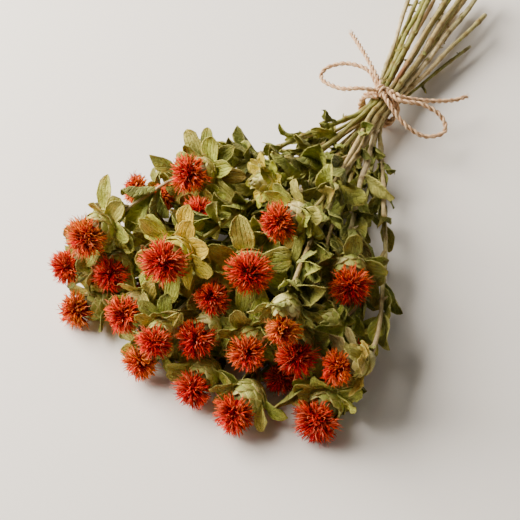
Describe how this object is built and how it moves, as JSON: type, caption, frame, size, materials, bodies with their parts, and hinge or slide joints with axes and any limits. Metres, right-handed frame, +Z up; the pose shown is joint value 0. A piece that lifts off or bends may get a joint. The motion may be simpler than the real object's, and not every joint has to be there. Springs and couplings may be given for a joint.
{
  "type": "dried safflower bunch",
  "caption": "Bunch of dried safflowers lying on its side, without a vase: orange and red floret heads over papery bracts, leafy stems tied with a jute twine bow.",
  "frame": {"origin": "bottom centre of the bunch's box, on the surface that it lies on", "axes": "+Z up from the surface, +Y along the stems towards their cut ends, so the flower heads are at -Y, and +X to the right when looking along +Y"},
  "size_m": [0.1928, 0.4164, 0.0822],
  "materials": {
    "dried_greens": "matt dried leaves, bracts and stems, olive to straw",
    "orange_florets": "matt thread-like florets, orange-red with yellow rims",
    "red_florets": "matt thread-like florets, crimson",
    "jute_twine": "matt two-ply jute with loose fibres"
  },
  "bodies": {
    "root": {"stem_01": "dried_greens", "stem_02": "dried_greens", "stem_03": "dried_greens", "stem_04": "dried_greens", "stem_05": "dried_greens", "stem_06": "dried_greens", "stem_07": "dried_greens", "stem_08": "dried_greens", "stem_09": "dried_greens", "stem_10": "dried_greens", "stem_11": "dried_greens", "stem_12": "dried_greens", "stem_13": "dried_greens", "stem_14": "dried_greens", "stem_15": "dried_greens", "stem_16": "dried_greens", "stem_17": "dried_greens", "stem_18": "dried_greens", "stem_19": "dried_greens", "stem_20": "dried_greens", "stem_21": "dried_greens", "bloom_01": "orange_florets", "bloom_02": "orange_florets", "bloom_03": "orange_florets", "bloom_04": "red_florets", "bloom_05": "orange_florets", "bloom_06": "orange_florets", "bloom_07": "orange_florets", "bloom_08": "red_florets", "bloom_09": "red_florets", "bloom_10": "red_florets", "bloom_11": "red_florets", "bloom_12": "orange_florets", "bloom_13": "orange_florets", "bloom_14": "orange_florets", "bloom_15": "orange_florets", "bloom_16": "orange_florets", "bloom_17": "orange_florets", "bloom_18": "orange_florets", "bloom_19": "red_florets", "bloom_20": "orange_florets", "bloom_21": "orange_florets", "bloom_22": "orange_florets", "bloom_23": "orange_florets", "bloom_24": "orange_florets", "bloom_25": "red_florets", "bloom_26": "orange_florets", "bloom_27": "orange_florets", "bloom_28": "orange_florets", "twine_bow": "jute_twine"}
  },
  "joints": []
}
